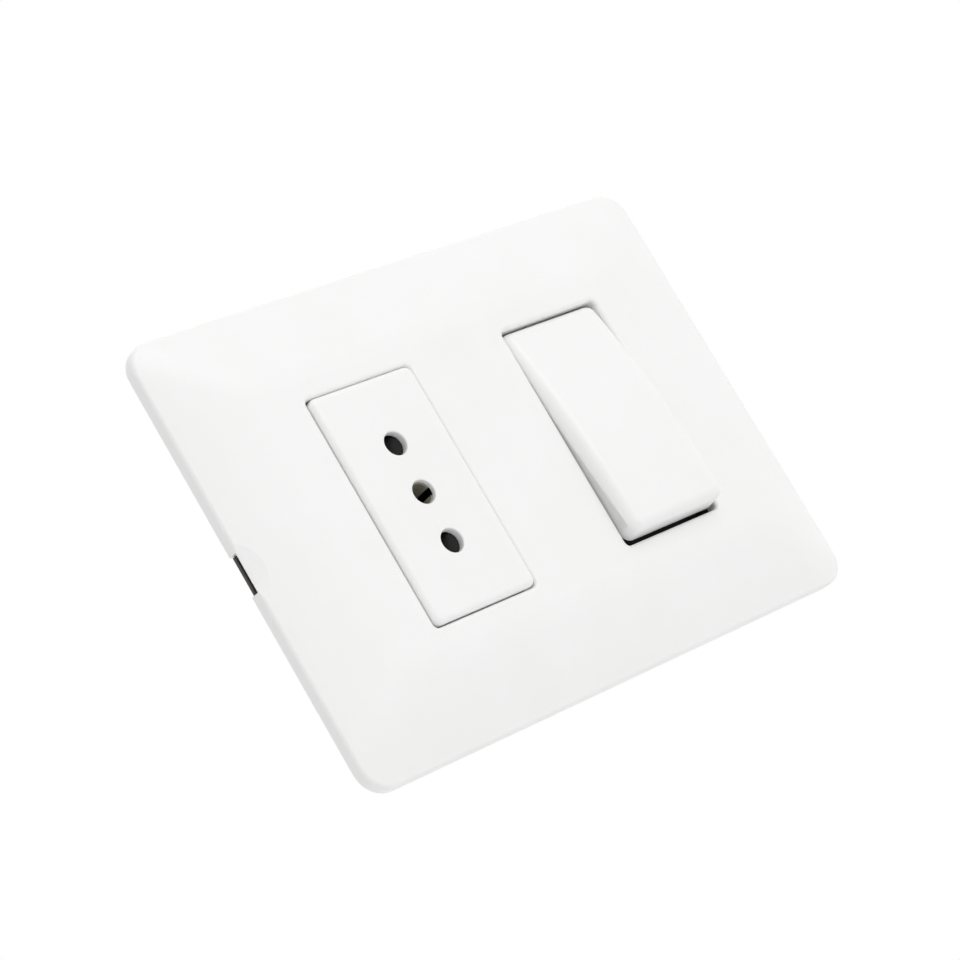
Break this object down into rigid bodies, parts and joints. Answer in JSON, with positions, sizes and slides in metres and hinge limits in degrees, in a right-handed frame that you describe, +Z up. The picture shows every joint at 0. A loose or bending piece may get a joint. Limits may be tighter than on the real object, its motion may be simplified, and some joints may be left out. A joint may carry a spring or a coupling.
{
  "type": "switch and socket combination",
  "caption": "Flush wall device: pillow-shaped white plate with an in-line three-pin socket and a rocker switch, on a mounting frame for a wall box.",
  "frame": {"origin": "middle of the plate on the wall plane", "axes": "+X right, +Z up as it hangs, -Y towards the room, +Y into the wall"},
  "size_m": [0.118, 0.029, 0.084],
  "materials": {
    "plate_white": "satin moulded white",
    "cover_white": "satin moulded white",
    "rocker_white": "satin moulded white",
    "frame_dark": "moulded",
    "base_dark": "moulded",
    "shutter_dark": "smooth",
    "plunger_natural": "smooth",
    "spring_steel": "drawn wire",
    "screw_steel": "zinc plated",
    "contact_brass": "rolled strip",
    "contact_nickel": "nickel plated strip",
    "terminal_brass": "machined",
    "silver": "satin silver"
  },
  "bodies": {
    "base": {"box_screw_left": "screw_steel", "box_screw_right": "screw_steel", "common_screw": "screw_steel", "common_strip": "contact_brass", "common_terminal": "terminal_brass", "cover_plate": "plate_white", "earth_contact": "contact_nickel", "earth_screw": "screw_steel", "earth_terminal": "terminal_brass", "fixed_contact_rivet": "silver", "live_contact": "contact_brass", "live_screw": "screw_steel", "live_terminal": "terminal_brass", "mounting_frame": "frame_dark", "neutral_contact": "contact_brass", "neutral_screw": "screw_steel", "neutral_terminal": "terminal_brass", "shutter_spring": "spring_steel", "socket_body": "base_dark", "socket_cover": "cover_white", "switch_body": "base_dark", "switched_screw": "screw_steel", "switched_strip": "contact_brass", "switched_terminal": "terminal_brass"},
    "rocker": {"rocker": "rocker_white", "plunger_spring": "spring_steel"},
    "plunger": {"plunger": "plunger_natural"},
    "seesaw": {"rocking_contact": "contact_brass", "moving_contact_rivet": "silver"},
    "shutter": {"shutter": "shutter_dark"}
  },
  "joints": [
    {"name": "rocker_tilt", "type": "hinge", "parent": "base", "child": "rocker", "pos_m": [0.0231, -0.0041, 0], "axis": [1, 0, 0], "range_deg": [0, 12.6]},
    {"name": "contact_tilt", "type": "hinge", "parent": "base", "child": "seesaw", "pos_m": [0.0231, 0.0049, 0], "axis": [1, 0, 0], "range_deg": [-16, 0]},
    {"name": "plunger_slide", "type": "slide", "parent": "rocker", "child": "plunger", "axis": [0, -0.994, 0.1097], "range_m": [0, 0.0008], "stiffness_N_per_m": 400, "springref_m": -0.004, "deforming": ["plunger_spring"]},
    {"name": "shutter_slide", "type": "slide", "parent": "base", "child": "shutter", "axis": [1, 0, 0], "range_m": [0, 0.005], "stiffness_N_per_m": 60, "springref_m": -0.005, "deforming": ["shutter_spring"]}
  ],
  "couplings": [
    {"joint": "contact_tilt", "follows": "rocker_tilt", "ratio": -1.2698}
  ]
}
